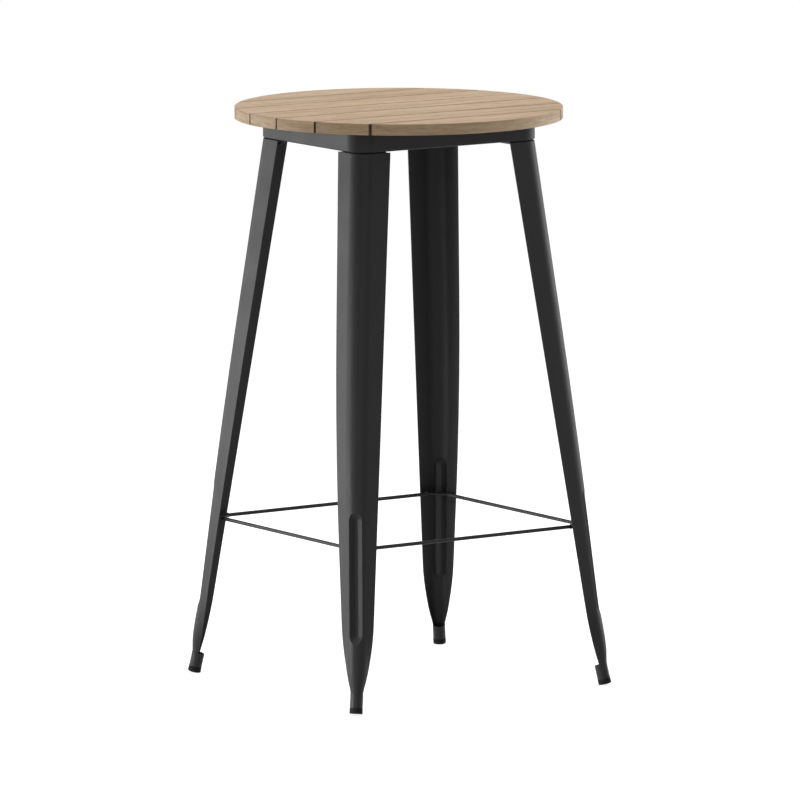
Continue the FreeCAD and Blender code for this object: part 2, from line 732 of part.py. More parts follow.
def make_foot():
    """The foot tube on the leg's end and the rubber cap pressed into it."""
    tilt = FreeCAD.Rotation(UP, foot_axis())
    tube = doc.addObject("Part::Cylinder", "tube_outside")
    tube.setExpression("Radius", "Sizes.tube_radius")
    tube.setExpression("Height", "Sizes.tube_length")
    bore = doc.addObject("Part::Cylinder", "tube_bore")
    bore.setExpression("Radius", "Sizes.tube_radius - Sizes.tube_sheet")
    bore.setExpression("Height", "Sizes.tube_length")
    for cylinder in (tube, bore):
        cylinder.Placement = FreeCAD.Placement(foot_base() + foot_axis() * size("cap_height"), tilt)
    foot = doc.addObject("Part::Cut", "foot_tube")
    foot.Base = tube
    foot.Tool = bore
    doc.recompute()
    keep_at_corners(foot, "foot_tube")

    body = new_body("cap_blank")
    profile = sketch_on(body, "profile", role="XZ_Plane")
    plug = "(Sizes.tube_radius - Sizes.tube_sheet - Sizes.seat_gap)"
    rim = "Sizes.cap_rim_radius"
    draw_outline(profile, [
        (0, 0), (f"Sizes.cap_radius - {rim}", 0), ("Sizes.cap_radius", rim),
        ("Sizes.cap_radius", f"Sizes.cap_height - {rim}"), (f"Sizes.cap_radius - {rim}", "Sizes.cap_height"),
        (plug, "Sizes.cap_height"), (plug, "Sizes.cap_height + Sizes.cap_plug_length"),
        (0, "Sizes.cap_height + Sizes.cap_plug_length"),
    ], {1: rim, 3: rim})
    turned = body.newObject("PartDesign::Revolution", "cap_turned")
    turned.Profile = profile
    turned.ReferenceAxis = (profile, ["V_Axis"])
    turned.Angle = 360
    body.Placement = FreeCAD.Placement(foot_base(), tilt)
    floor = doc.addObject("Part::Box", "floor_block")
    for side in ("Length", "Width"):
        floor.setExpression(side, "4 * Sizes.cap_radius")
    floor.setExpression("Height", "Sizes.cap_radius")
    floor.setExpression("Placement.Base.x", "Sizes.foot_x - 2 * Sizes.cap_radius")
    floor.setExpression("Placement.Base.y", "Sizes.foot_y - 2 * Sizes.cap_radius")
    floor.setExpression("Placement.Base.z", "-Sizes.cap_radius")
    cap = doc.addObject("Part::Cut", "foot_cap")
    cap.Base = body
    cap.Tool = floor
    doc.recompute()
    keep_at_corners(cap, "foot_cap")


# The footrest

def make_footrest():
    """Four round rods between flat plates that are welded across the inside of the legs."""
    x, y, width, corner = leg_station(measure("Sizes.footrest_height + Sizes.footrest_plate_thickness / 2"))
    inside = size("leg_sheet") + size("seat_gap")
    inset = width - size("footrest_plate_inset")
    radius = corner - inside
    rod = size("rod_radius")
    end_x, end_y = x - inset, y - inset
    thickness = size("footrest_plate_thickness")
    level = Vector(0, 0, size("footrest_height") - thickness / 2)
    outer_x, outer_y = x - inside, y - inside
    spots = [(outer_x, end_y), (outer_x, outer_y - radius), (outer_x - radius, outer_y), (end_x, outer_y),
             (end_x, size("footrest_y") - rod), (size("footrest_x") - rod, end_y)]
    corners = [Vector(a, b, 0) + level for a, b in spots]
    edges = [Part.makeLine(start, end) for start, end in zip(corners, corners[1:] + corners[:1])]
    edges[1] = arc_between(corners[1] - level, corners[2] - level, radius).toShape()
    edges[1].translate(level)
    plate = doc.addObject("Part::Feature", "footrest_plate")
    rib = groove_tool(size("leg_sheet") + size("seat_gap"))
    plate.Shape = Part.Face(Part.Wire(edges)).extrude(UP * thickness).cut(rib)
    keep_at_corners(plate, "footrest_plate")

    for label, direction, at, half in (("footrest_rod_back", "x", size("footrest_y"), end_x),
                                       ("footrest_rod_front", "x", -size("footrest_y"), end_x),
                                       ("footrest_rod_right", "y", size("footrest_x"), end_y),
                                       ("footrest_rod_left", "y", -size("footrest_x"), end_y)):
        bar = doc.addObject("Part::Cylinder", label)
        bar.setExpression("Radius", "Sizes.rod_radius")
        bar.Height = 2 * half
        along = Vector(1, 0, 0) if direction == "x" else Vector(0, 1, 0)
        across = Vector(0, 1, 0) if direction == "x" else Vector(1, 0, 0)
        start = across * at - along * half + Vector(0, 0, size("footrest_height"))
        bar.Placement = FreeCAD.Placement(start, FreeCAD.Rotation(UP, along))
        keep(bar, label)


for number in range(1, PLANK_COUNT + 1):
    make_plank(number)
for side_name, side in BATTEN_SIDES.items():
    make_batten(side_name, side)
make_plank_screws()
make_batten_screws()
make_apron()
make_corner_plate()
make_leg_plate()
make_leg_bolts()
make_leg()
make_foot()
make_footrest()
doc.recompute()

for item in doc.Objects:
    if {"Invalid", "Error"} & set(item.State):
        raise RuntimeError(f"{item.Name} is {item.State}")
for part in PARTS:
    if part.Shape.isNull() or not part.Shape.isValid() or not part.Shape.Solids:
        raise RuntimeError(f"{part.Label} has no valid shape")

os.makedirs("parts", exist_ok=True)
for part in PARTS:
    part.Shape.exportStep(f"parts/{part.Label}.step")
    print(part.Label, len(part.Shape.Solids), "solids", round(part.Shape.Volume), "mm3")
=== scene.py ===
import logging
import math
import random
from dataclasses import dataclass
from enum import Enum

import bmesh
import bpy
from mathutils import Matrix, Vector


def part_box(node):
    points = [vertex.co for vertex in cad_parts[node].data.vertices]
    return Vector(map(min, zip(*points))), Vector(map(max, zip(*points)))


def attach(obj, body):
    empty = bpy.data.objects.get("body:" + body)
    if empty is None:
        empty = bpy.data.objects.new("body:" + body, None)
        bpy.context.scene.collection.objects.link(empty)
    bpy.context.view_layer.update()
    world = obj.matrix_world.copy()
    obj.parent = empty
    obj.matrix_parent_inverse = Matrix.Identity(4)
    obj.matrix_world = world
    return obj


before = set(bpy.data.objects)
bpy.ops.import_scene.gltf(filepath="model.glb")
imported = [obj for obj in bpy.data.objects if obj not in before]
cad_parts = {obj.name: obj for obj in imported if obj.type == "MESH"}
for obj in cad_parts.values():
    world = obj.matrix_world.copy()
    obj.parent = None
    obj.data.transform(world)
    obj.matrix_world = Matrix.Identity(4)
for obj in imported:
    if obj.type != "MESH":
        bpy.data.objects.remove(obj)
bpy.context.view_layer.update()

LOG = logging.getLogger("bar_table")
MM = 0.001
ROOT = "root"
WHITE = (1, 1, 1, 1)

Colour = tuple[float, float, float]
Point = tuple[float, float, float]
Socket = bpy.types.NodeSocket


class Corner(Enum):
    """The four corners of the base, each with its signs along X and Y."""

    BACK_RIGHT = (1, 1)
    BACK_LEFT = (-1, 1)
    FRONT_RIGHT = (1, -1)
    FRONT_LEFT = (-1, -1)

    @property
    def label(self) -> str:
        """The corner's name as the CAD nodes spell it."""
        return self.name.lower()

    def place(self, x: float, y: float, z: float) -> Vector:
        """A point given for the back right corner, mirrored to this one."""
        return Vector((x * self.value[0], y * self.value[1], z))

    def reach(self, node: str) -> tuple[Vector, Vector]:
        """Measures one of the corner's nodes as if it stood at the back right.

        Args:
            node: The node's name without the corner's label.

        Returns:
            The corners of its box that are nearest to and farthest from the table's middle.
        """
        low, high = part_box(f"{node}_{self.label}")
        near = (min(abs(low.x), abs(high.x)), min(abs(low.y), abs(high.y)), low.z)
        far = (max(abs(low.x), abs(high.x)), max(abs(low.y), abs(high.y)), high.z)
        return Vector(near), Vector(far)


class Slot(Enum):
    """The record's material slot for black steel; the pieces added here are not given it."""

    BLACK_STEEL = "black_steel"


class Blend(Enum):
    """What the Mix node blends, with the numbers of its two inputs and of its output."""

    VECTOR = (4, 5, 1)
    RGBA = (6, 7, 2)


class Tree:
    """Builds one node tree with short calls."""

    def __init__(self, tree: bpy.types.NodeTree) -> None:
        """Keeps the tree and empties it."""
        self.tree = tree
        self.tree.nodes.clear()

    def feed(self, socket: Socket, value: object) -> None:
        """Gives an input its value.

        Args:
            socket: The input.
            value: The socket that is linked to it, or a plain value that is set on it.
        """
        if isinstance(value, Socket):
            self.tree.links.new(value, socket)
        else:
            socket.default_value = value

    def add(self, kind: str, values: dict | None = None, **settings: object) -> bpy.types.Node:
        """Adds a node.

        Args:
            kind: The node's type name after "ShaderNode".
            values: Input names or numbers, each with a plain value or the socket that feeds it.
            settings: Properties of the node itself.

        Returns:
            The new node.
        """
        node = self.tree.nodes.new(f"ShaderNode{kind}")
        for name, setting in settings.items():
            setattr(node, name, setting)
        for name, value in (values or {}).items():
            self.feed(node.inputs[name], value)
        return node

    def place(self, group: bpy.types.NodeTree, values: dict) -> bpy.types.Node:
        """Places a shared group.

        Args:
            group: The group.
            values: Names of its inputs, each with a plain value or the socket that feeds it.

        Returns:
            The new group node.
        """
        node = self.tree.nodes.new("ShaderNodeGroup")
        node.node_tree = group
        for name, value in values.items():
            self.feed(node.inputs[name], value)
        return node

    def result(self, operation: str, first: object, second: object = 0.0) -> Socket:
        """The result of one operation of the Math node."""
        return self.add("Math", {0: first, 1: second}, operation=operation).outputs[0]

    def raised(self, base: object, mask: object, share: float) -> Socket:
        """A base number with a share of a mask added."""
        return self.result("ADD", base, self.result("MULTIPLY", mask, share))

    def noise(self, vector: object, detail: float, scale: object = 1.0) -> Socket:
        """A noise value over a vector."""
        return self.add("TexNoise", {"Vector": vector, "Scale": scale, "Detail": detail}).outputs["Fac"]

    def spread(self, value: object, low: float, high: float) -> Socket:
        """Stretches a range of a value to the range from 0 to 1, clamped."""
        return self.add("MapRange", {"Value": value, "From Min": low, "From Max": high}).outputs["Result"]

    def mix(self, share: object, first: object, second: object, kind: Blend = Blend.RGBA) -> Socket:
        """Mixes two colours or two vectors.

        Args:
            share: How much of the second one is mixed in.
            first: The one at a share of 0.
            second: The one at a share of 1.
            kind: Whether they are colours or vectors.

        Returns:
            The mixed colour or vector.
        """
        first_input, second_input, output = kind.value
        values = {0: share, first_input: first, second_input: second}
        return self.add("Mix", values, data_type=kind.name).outputs[output]

    def stretched(self, vector: object, factors: Point) -> Socket:
        """The vector multiplied along each axis."""
        return self.add("VectorMath", {0: vector, 1: factors}, operation="MULTIPLY").outputs[0]

    def bump(self, height: Socket, distance: float = 1.0) -> Socket:
        """The surface's normal, tilted by a height over it."""
        return self.add("Bump", {"Height": height, "Distance": distance, "Strength": 1.0}).outputs[0]

    def object_place(self) -> Socket:
        """The point's place in the frame, in metres."""
        return self.add("TexCoord").outputs["Object"]

    def along_axis(self, vector: Socket, axis: str) -> Socket:
        """One part of a vector."""
        return self.add("SeparateXYZ", {0: vector}).outputs[axis]

    def normal(self) -> Socket:
        """The surface's own normal."""
        return self.add("NewGeometry").outputs["Normal"]


class Effect:
    """A shared node group with named number inputs and named outputs."""

    def __init__(self, name: str, inputs: dict[str, float], outputs: list[str]) -> None:
        """Starts the group.

        Args:
            name: The group's name.
            inputs: Names of its inputs with their defaults.
            outputs: Names of its outputs, all numbers.
        """
        self.group = bpy.data.node_groups.new(name, "ShaderNodeTree")
        for label, default in inputs.items():
            self._new_socket(label, "INPUT").default_value = default
        for label in outputs:
            self._new_socket(label, "OUTPUT")
        self.tree = Tree(self.group)
        self.inputs = self.group.nodes.new("NodeGroupInput").outputs
        self.outputs = self.group.nodes.new("NodeGroupOutput").inputs

    def _new_socket(self, label: str, way: str) -> bpy.types.NodeTreeInterfaceSocket:
        """Adds a number to the group's inputs or outputs."""
        return self.group.interface.new_socket(name=label, in_out=way, socket_type="NodeSocketFloat")

    def give(self, name: str, value: Socket) -> None:
        """Feeds one of the group's outputs."""
        self.tree.feed(self.outputs[name], value)


@dataclass(frozen=True)
class GrainLayer:
    """A layer of grain: its repeats per metre along and across the plank, and its share of the tone."""

    along: float
    across: float
    detail: float
    share: float = 0.0

    def place(self, tree: Tree, place: Socket) -> Socket:
        """The place, scaled so that the layer is drawn out along the plank."""
        return tree.stretched(place, (self.along, self.across, self.across))

    def noise(self, tree: Tree, place: Socket) -> Socket:
        """The layer as a noise."""
        return tree.noise(self.place(tree, place), detail=self.detail)


@dataclass(frozen=True)
class WoodGrain:
    """Grain along X, and along the round rim: bands, streaks, flecks, fibres, growth lines and pores."""

    bands: GrainLayer = GrainLayer(2.4, 30.0, 3.0, 0.26)
    streaks: GrainLayer = GrainLayer(7.0, 190.0, 4.0, 0.28)
    flecks: GrainLayer = GrainLayer(38.0, 200.0, 2.0, 0.2)
    fibres: GrainLayer = GrainLayer(30.0, 1000.0, 2.0, 0.12)
    lines: GrainLayer = GrainLayer(1.3, 17.0, 2.0, 0.14)
    pores: GrainLayer = GrainLayer(48.0, 1500.0, 1.0)
    line_scale: float = 1.6
    line_distortion: float = 7.0
    line_detail_scale: float = 1.1
    low_tone: float = 0.38
    high_tone: float = 0.62
    fibre_relief: float = 0.5

    def _place(self, effect: Effect) -> Socket:
        """Finds where on the grain a point lies.

        Args:
            effect: The group, with its inputs Shift and Rim Radius.

        Returns:
            The place along X and Y, shifted for each plank, or along the rim on upright faces.
        """
        tree = effect.tree
        shift = effect.inputs["Shift"]
        both = tree.add("CombineXYZ", {"X": shift, "Y": shift}).outputs[0]
        flat = tree.add("VectorMath", {0: tree.object_place(), 1: both}, operation="ADD").outputs[0]
        parts = tree.add("SeparateXYZ", {0: tree.object_place()}).outputs
        turn = tree.result("ARCTAN2", parts["Y"], parts["X"])
        along = tree.result("MULTIPLY", turn, effect.inputs["Rim Radius"])
        rim = tree.add("CombineXYZ", {"X": along, "Y": shift, "Z": parts["Z"]}).outputs[0]
        slope = tree.result("ABSOLUTE", tree.along_axis(tree.normal(), "Z"))
        return tree.mix(tree.spread(slope, low=0.3, high=0.7), rim, flat, kind=Blend.VECTOR)

    def group(self) -> bpy.types.NodeTree:
        """Builds the group that draws the grain.

        Returns:
            The group, which puts out the tone, the pores and the height.
        """
        effect = Effect("wood_grain", {"Shift": 0.0, "Rim Radius": 0.3, "Pore Share": 0.3},
                        ["Tone", "Pores", "Height"])
        tree = effect.tree
        place = self._place(effect)
        lines = tree.add("TexWave", {"Vector": self.lines.place(tree, place), "Scale": self.line_scale,
                                     "Distortion": self.line_distortion, "Detail": self.lines.detail,
                                     "Detail Scale": self.line_detail_scale},
                         wave_type="BANDS", bands_direction="Y").outputs["Fac"]
        tone = tree.result("MULTIPLY", lines, self.lines.share)
        for layer in (self.bands, self.streaks, self.flecks):
            shade = tree.spread(layer.noise(tree, place), self.low_tone, self.high_tone)
            tone = tree.raised(tone, shade, layer.share)
        fibres = self.fibres.noise(tree, place)
        shade = tree.spread(fibres, self.low_tone, self.high_tone)
        dashes = tree.spread(self.pores.noise(tree, place), low=0.62, high=0.7)
        pores = tree.result("MULTIPLY", dashes, effect.inputs["Pore Share"])
        relief = tree.result("MULTIPLY", fibres, self.fibre_relief)
        effect.give("Tone", tree.raised(tone, shade, self.fibres.share))
        effect.give("Pores", pores)
        effect.give("Height", tree.result("SUBTRACT", relief, pores))
        return effect.group


class Effects:
    """The node groups that the finishes share, each built once."""

    def __init__(self) -> None:
        """Builds every group."""
        self.grain = WoodGrain().group()
        self.edge_wear_and_highlight = self._edge_wear_and_highlight()
        self.dust = self._dust()
        self.peel = self._peel()
        self.seam = self._seam()

    @staticmethod
    def _edge_wear_and_highlight() -> bpy.types.NodeTree:
        """Sharp edges, broken up by noise, where a finish is thinner; on the powder coat the paler edges
        are partly a painted highlight.

        Returns:
            The group, which puts out a mask.
        """
        effect = Effect("edge_wear_and_highlight", {"Radius": 0.001, "Breakup": 60.0, "Amount": 0.5}, ["Mask"])
        tree = effect.tree
        rounded = tree.add("Bevel", {"Radius": effect.inputs["Radius"]}, samples=4).outputs["Normal"]
        compared = tree.add("VectorMath", {0: rounded, 1: tree.normal()}, operation="DOT_PRODUCT")
        edge = tree.spread(tree.result("SUBTRACT", 1.0, compared.outputs["Value"]), low=0.02, high=0.2)
        breakup = tree.add("TexNoise", {"Vector": tree.object_place(), "Scale": effect.inputs["Breakup"]})
        broken = tree.result("MULTIPLY", edge, tree.spread(breakup.outputs["Fac"], low=0.3, high=0.6))
        effect.give("Mask", tree.result("MULTIPLY", broken, effect.inputs["Amount"]))
        return effect.group

    @staticmethod
    def _dust() -> bpy.types.NodeTree:
        """A faint film on surfaces that face up, in soft patches.

        Returns:
            The group, which puts out a mask.
        """
        effect = Effect("dust_film", {"Amount": 0.2, "Patch": 9.0}, ["Mask"])
        tree = effect.tree
        up = tree.spread(tree.along_axis(tree.normal(), "Z"), low=0.3, high=1.0)
        patch = tree.add("TexNoise", {"Vector": tree.object_place(), "Scale": effect.inputs["Patch"]})
        film = tree.result("MULTIPLY", up, tree.spread(patch.outputs["Fac"], low=0.35, high=0.7))
        effect.give("Mask", tree.result("MULTIPLY", film, effect.inputs["Amount"]))
        return effect.group

    @staticmethod
    def _peel() -> bpy.types.NodeTree:
        """The fine pebbled surface of a sprayed or moulded skin.

        Returns:
            The group, which puts out a height in metres and a mask.
        """
        effect = Effect("skin_texture", {"Pebbles": 900.0, "Depth": 0.00002}, ["Height", "Mask"])
        tree = effect.tree
        fine = tree.noise(tree.object_place(), detail=2.0, scale=effect.inputs["Pebbles"])
        effect.give("Height", tree.result("MULTIPLY", fine, effect.inputs["Depth"]))
        effect.give("Mask", fine)
        return effect.group

    @staticmethod
    def _seam() -> bpy.types.NodeTree:
        """Painted shade along the gaps between planks that run along X, middle plank over the origin: their
        edges are darker where shade falls.

        Returns:
            The group, which puts out a mask.
        """
        effect = Effect("plank_seam", {"Pitch": 0.1, "Gap": 0.003, "Fade": 0.001, "Reach": 0.25}, ["Mask"])
        tree = effect.tree
        across = tree.result("ABSOLUTE", tree.along_axis(tree.object_place(), "Y"))
        steps = tree.result("FRACT", tree.result("DIVIDE", across, effect.inputs["Pitch"]))
        away = tree.result("ABSOLUTE", tree.result("SUBTRACT", steps, 0.5))
        away = tree.result("MULTIPLY", away, effect.inputs["Pitch"])
        away = tree.result("SUBTRACT", away, tree.result("MULTIPLY", effect.inputs["Gap"], 0.5))
        clear = tree.spread(tree.result("DIVIDE", away, effect.inputs["Fade"]), low=0.0, high=1.0)
        inner = tree.result("LESS_THAN", across, effect.inputs["Reach"])
        broken = tree.spread(tree.noise(tree.object_place(), detail=2.0, scale=45.0), low=0.2, high=0.45)
        broken = tree.result("MULTIPLY", broken, inner)
        effect.give("Mask", tree.result("MULTIPLY", tree.result("SUBTRACT", 1.0, clear), broken))
        return effect.group


def new_material(name: str) -> tuple[bpy.types.Material, Tree]:
    """Makes an empty material.

    Args:
        name: The material's name.

    Returns:
        The material and its tree.
    """
    material = bpy.data.materials.new(name)
    material.use_nodes = True
    return material, Tree(material.node_tree)


def close_surface(tree: Tree, values: dict) -> None:
    """Adds the Principled shader with its values and the material's output."""
    shader = tree.add("BsdfPrincipled", values)
    tree.add("OutputMaterial", {"Surface": shader.outputs[0]})


@dataclass(frozen=True)
class PlankSpacing:
    """The planks' pitch and gap, how far out the gaps lie, and the radius of the top's rim."""

    pitch: float
    gap: float
    reach: float
    rim_radius: float


@dataclass(frozen=True)
class WoodLook:
    """The pale wood-look skin of one plank, with grain along its length and painted shade along the gaps
    between planks.
    """

    plank: int
    light: Colour
    dark: Colour
    spacing: PlankSpacing
    pore: Colour = (0.13, 0.078, 0.045)
    # colour of the painted shade along the gaps between planks
    seam: Colour = (0.09, 0.055, 0.032)
    painted_gap_shade_fade: float = 1.4 * MM
    shift_step: float = 3.7
    pore_share: float = 0.35
    roughness: float = 0.55
    pore_roughness: float = 0.2
    dust_roughness: float = 0.6
    specular: float = 0.18
    grain_depth: float = 0.12 * MM

    def material(self, effects: Effects) -> bpy.types.Material:
        """Builds the plank's material.

        Args:
            effects: The shared node groups.

        Returns:
            The finished material.
        """
        material, tree = new_material(f"wood_look_{self.plank}")
        spacing = self.spacing
        shift = self.plank * self.shift_step
        grain = tree.place(effects.grain, {"Shift": shift, "Rim Radius": spacing.rim_radius,
                                           "Pore Share": self.pore_share})
        edge_mask = tree.place(effects.edge_wear_and_highlight, {"Radius": 1.8 * MM, "Breakup": 45.0, "Amount": 0.25})
        dust = tree.place(effects.dust, {"Amount": 0.12, "Patch": 7.0})
        seam = tree.place(effects.seam, {"Pitch": spacing.pitch, "Gap": spacing.gap, "Fade": self.painted_gap_shade_fade,
                                         "Reach": spacing.reach})
        colour = tree.mix(grain.outputs["Tone"], (*self.dark, 1), (*self.light, 1))
        colour = tree.mix(grain.outputs["Pores"], colour, (*self.pore, 1))
        colour = tree.mix(edge_mask.outputs["Mask"], colour, (*self.light, 1))
        # painted shade: plank edges darkened along the gaps between planks
        colour = tree.mix(seam.outputs["Mask"], colour, (*self.seam, 1))
        rough = tree.raised(self.roughness, grain.outputs["Pores"], self.pore_roughness)
        rough = tree.raised(rough, dust.outputs["Mask"], self.dust_roughness)
        close_surface(tree, {"Base Color": colour, "Roughness": rough, "Specular IOR Level": self.specular,
                             "Normal": tree.bump(grain.outputs["Height"], self.grain_depth)})
        return material


@dataclass(frozen=True)
class PowderCoat:
    """Satin black powder coat over steel, a little paler on its edges, partly from wear and partly as a
    painted highlight.
    """

    name: str = "black_powder_coat"
    colour: Colour = (0.0165, 0.0155, 0.016)
    # pale colour for the mottle and the edges; on the edges it is partly a painted highlight
    worn_and_highlight: Colour = (0.06, 0.058, 0.059)
    dust: Colour = (0.3, 0.29, 0.28)
    mottle_share: float = 0.2
    dust_share: float = 0.15
    roughness: float = 0.47
    mottle_roughness: float = 0.06
    dust_roughness: float = 0.3
    specular: float = 0.16
    pebble_depth: float = 0.012 * MM

    def material(self, effects: Effects) -> bpy.types.Material:
        """Builds the coat's material.

        Args:
            effects: The shared node groups.

        Returns:
            The finished material.
        """
        material, tree = new_material(self.name)
        peel = tree.place(effects.peel, {"Pebbles": 850.0, "Depth": self.pebble_depth})
        edge_mask = tree.place(effects.edge_wear_and_highlight, {"Radius": 0.9 * MM, "Breakup": 120.0, "Amount": 0.3})
        dust = tree.place(effects.dust, {"Amount": 0.2, "Patch": 11.0}).outputs["Mask"]
        mottle = tree.noise(tree.object_place(), detail=4.0, scale=14.0)
        pale = tree.result("MULTIPLY", mottle, self.mottle_share)
        colour = tree.mix(pale, (*self.colour, 1), (*self.worn_and_highlight, 1))
        # partly wear, partly painted highlight: sharp edges lightened toward the pale colour
        colour = tree.mix(edge_mask.outputs["Mask"], colour, (*self.worn_and_highlight, 1))
        colour = tree.mix(tree.result("MULTIPLY", dust, self.dust_share), colour, (*self.dust, 1))
        rough = tree.raised(self.roughness, tree.spread(mottle, low=0.3, high=0.7), self.mottle_roughness)
        rough = tree.raised(rough, dust, self.dust_roughness)
        close_surface(tree, {"Base Color": colour, "Roughness": rough, "Specular IOR Level": self.specular,
                             "Normal": tree.bump(peel.outputs["Height"])})
        return material


@dataclass(frozen=True)
class ZincPlate:
    """Zinc plating with a faint spangle, bright on the screws and black on the legs' fasteners."""

    name: str = "zinc_plate"
    colour: Colour = (0.58, 0.59, 0.6)
    tarnish: Colour = (0.36, 0.35, 0.33)
    roughness: float = 0.34
    tarnish_share: float = 0.6
    spangle_scale: float = 700.0
    spangle_roughness: float = 0.12

    def material(self, effects: Effects) -> bpy.types.Material:
        """Builds the plating's material.

        Args:
            effects: The shared node groups.

        Returns:
            The finished material.
        """
        material, tree = new_material(self.name)
        spangle = tree.add("TexVoronoi", {"Vector": tree.object_place(), "Scale": self.spangle_scale})
        shade = tree.add("SeparateColor", {0: spangle.outputs["Color"]}).outputs[0]
        patch = tree.spread(tree.noise(tree.object_place(), detail=4.0, scale=160.0), low=0.4, high=0.7)
        edge_mask = tree.place(effects.edge_wear_and_highlight, {"Radius": 0.4 * MM, "Breakup": 300.0, "Amount": 0.6})
        dull = tree.result("MULTIPLY", patch, self.tarnish_share)
        colour = tree.mix(dull, (*self.colour, 1), (*self.tarnish, 1))
        colour = tree.mix(edge_mask.outputs["Mask"], colour, (*self.colour, 1))
        rough = tree.raised(self.roughness, shade, self.spangle_roughness)
        close_surface(tree, {"Base Color": colour, "Roughness": rough, "Metallic": 1.0})
        return material


@dataclass(frozen=True)
class FootRubber:
    """Matte moulded rubber of the foot caps, with a little scuffing and dust."""

    name: str = "foot_rubber"
    colour: Colour = (0.017, 0.016, 0.0165)
    scuff: Colour = (0.055, 0.053, 0.051)
    dust_share: float = 0.3
    roughness: float = 0.75
    pebble_roughness: float = 0.12
    specular: float = 0.08
    pebble_depth: float = 0.03 * MM

    def material(self, effects: Effects) -> bpy.types.Material:
        """Builds the rubber's material.

        Args:
            effects: The shared node groups.

        Returns:
            The finished material.
        """
        material, tree = new_material(self.name)
        peel = tree.place(effects.peel, {"Pebbles": 1500.0, "Depth": self.pebble_depth})
        edge_mask = tree.place(effects.edge_wear_and_highlight, {"Radius": 1.2 * MM, "Breakup": 150.0, "Amount": 0.7})
        dust = tree.place(effects.dust, {"Amount": 0.4, "Patch": 60.0}).outputs["Mask"]
        colour = tree.mix(edge_mask.outputs["Mask"], (*self.colour, 1), (*self.scuff, 1))
        colour = tree.mix(tree.result("MULTIPLY", dust, self.dust_share), colour, (*self.scuff, 1))
        rough = tree.raised(self.roughness, peel.outputs["Mask"], self.pebble_roughness)
        close_surface(tree, {"Base Color": colour, "Roughness": rough, "Specular IOR Level": self.specular,
                             "Normal": tree.bump(peel.outputs["Height"])})
        return material


def dress(node: str, material: bpy.types.Material) -> None:
    """Gives a CAD node one material.

    Args:
        node: The node's name.
        material: The finish for all of its surface.
    """
    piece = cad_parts[node]
    piece.data.materials.clear()
    piece.data.materials.append(material)


def shown_piece(name: str, shape: bmesh.types.BMesh, material: bpy.types.Material) -> None:
    """Makes a piece of the object from a mesh that is in place, and lets it ride on the root.

    Args:
        name: The piece's name.
        shape: The finished mesh, which is freed.
        material: The finish.
    """
    mesh = bpy.data.meshes.new(name)
    bmesh.ops.recalc_face_normals(shape, faces=shape.faces)
    shape.to_mesh(mesh)
    shape.free()
    mesh.shade_smooth()
    mesh.materials.append(material)
    piece = bpy.data.objects.new(name, mesh)
    bpy.context.scene.collection.objects.link(piece)
    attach(piece, ROOT)
    LOG.info("built %s with %d faces", name, len(mesh.polygons))


@dataclass
class WeldBead:
    """A rippled weld bead swept along a path."""

    radius: float
    ripple_pitch: float = 1.5 * MM
    ripple_share: float = 0.16
    unevenness: float = 0.5
    taper_share: float = 0.25
    sides: int = 8
    steps_per_ripple: int = 4

    def resampled(self, path: list[Vector]) -> list[Vector]:
        """Walks along a path at an even step.

        Args:
            path: The path's corners.

        Returns:
            A point for each step.
        """
        step = self.ripple_pitch / self.steps_per_ripple
        points = [path[0]]
        left = step
        for start, end in zip(path, path[1:]):
            length = (end - start).length
            while left <= length:
                points.append(start.lerp(end, left / length))
                left += step
            left -= length
        return points

    def add(self, shape: bmesh.types.BMesh, path: list[Vector], seed: int) -> None:
        """Adds the bead to a mesh.

        Args:
            shape: The mesh that gets the bead.
            path: Points along the joint.
            seed: Start of the bead's small irregularities.
        """
        chance = random.Random(seed)
        points = self.resampled(path)
        last = len(points) - 1
        rings = []
        for number, point in enumerate(points):
            along = (points[min(number + 1, last)] - points[max(number - 1, 0)]).normalized()
            side = along.orthogonal().normalized()
            over = along.cross(side)
            phase = 2 * math.pi * number / self.steps_per_ripple
            ripple = math.sin(phase) + chance.uniform(-self.unevenness, self.unevenness)
            taper = min(1.0, self.taper_share * (1 + min(number, last - number)))
            size = self.radius * (1 + self.ripple_share * ripple) * taper
            turns = (2 * math.pi * step / self.sides for step in range(self.sides))
            rings.append([shape.verts.new(point + size * (side * math.cos(turn) + over * math.sin(turn)))
                          for turn in turns])
        for first, second in zip(rings, rings[1:]):
            self._join(shape, first, second)
        shape.faces.new(rings[0])
        shape.faces.new(rings[-1])

    def _join(self, shape: bmesh.types.BMesh, first: list, second: list) -> None:
        """Joins two rings, turned so that their nearest points meet.

        Args:
            shape: The mesh of both.
            first: The corners of one ring.
            second: The corners of the next.
        """
        turn = min(range(self.sides), key=lambda step: (second[step].co - first[0].co).length)
        for number in range(self.sides):
            following = (number + 1) % self.sides
            shape.faces.new((first[number], first[following], second[(turn + following) % self.sides],
                             second[(turn + number) % self.sides]))


@dataclass
class TableTop:
    """The planks of the round top, each with a shade of its own."""

    shades: tuple[float, ...] = (0.5, 0.2, 0.75, 0.4, 0.9, 0.3, 0.6)
    middle_shade: float = 0.5
    light: Colour = (0.68, 0.5, 0.328)
    dark: Colour = (0.3, 0.198, 0.113)
    shade_reach: float = 0.12

    def spacing(self) -> PlankSpacing:
        """Reads the planks' places from the middle plank and the one beside it.

        Returns:
            The places that the planks' finish follows.
        """
        first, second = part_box("plank_3"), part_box("plank_4")
        pitch, gap = second[0].y - first[0].y, second[0].y - first[1].y
        rim_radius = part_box("plank_4")[1].x
        return PlankSpacing(pitch, gap, len(self.shades) // 2 * pitch, rim_radius)

    def dress(self, effects: Effects) -> None:
        """Gives each plank its own wood-look finish.

        Args:
            effects: The shared node groups.
        """
        spacing = self.spacing()
        for number, shade in enumerate(self.shades, 1):
            factor = 1 + self.shade_reach * (shade - self.middle_shade)
            light = tuple(part * factor for part in self.light)
            dark = tuple(part * factor for part in self.dark)
            dress(f"plank_{number}", WoodLook(number, light, dark, spacing).material(effects))
        LOG.info("dressed %d planks", len(self.shades))


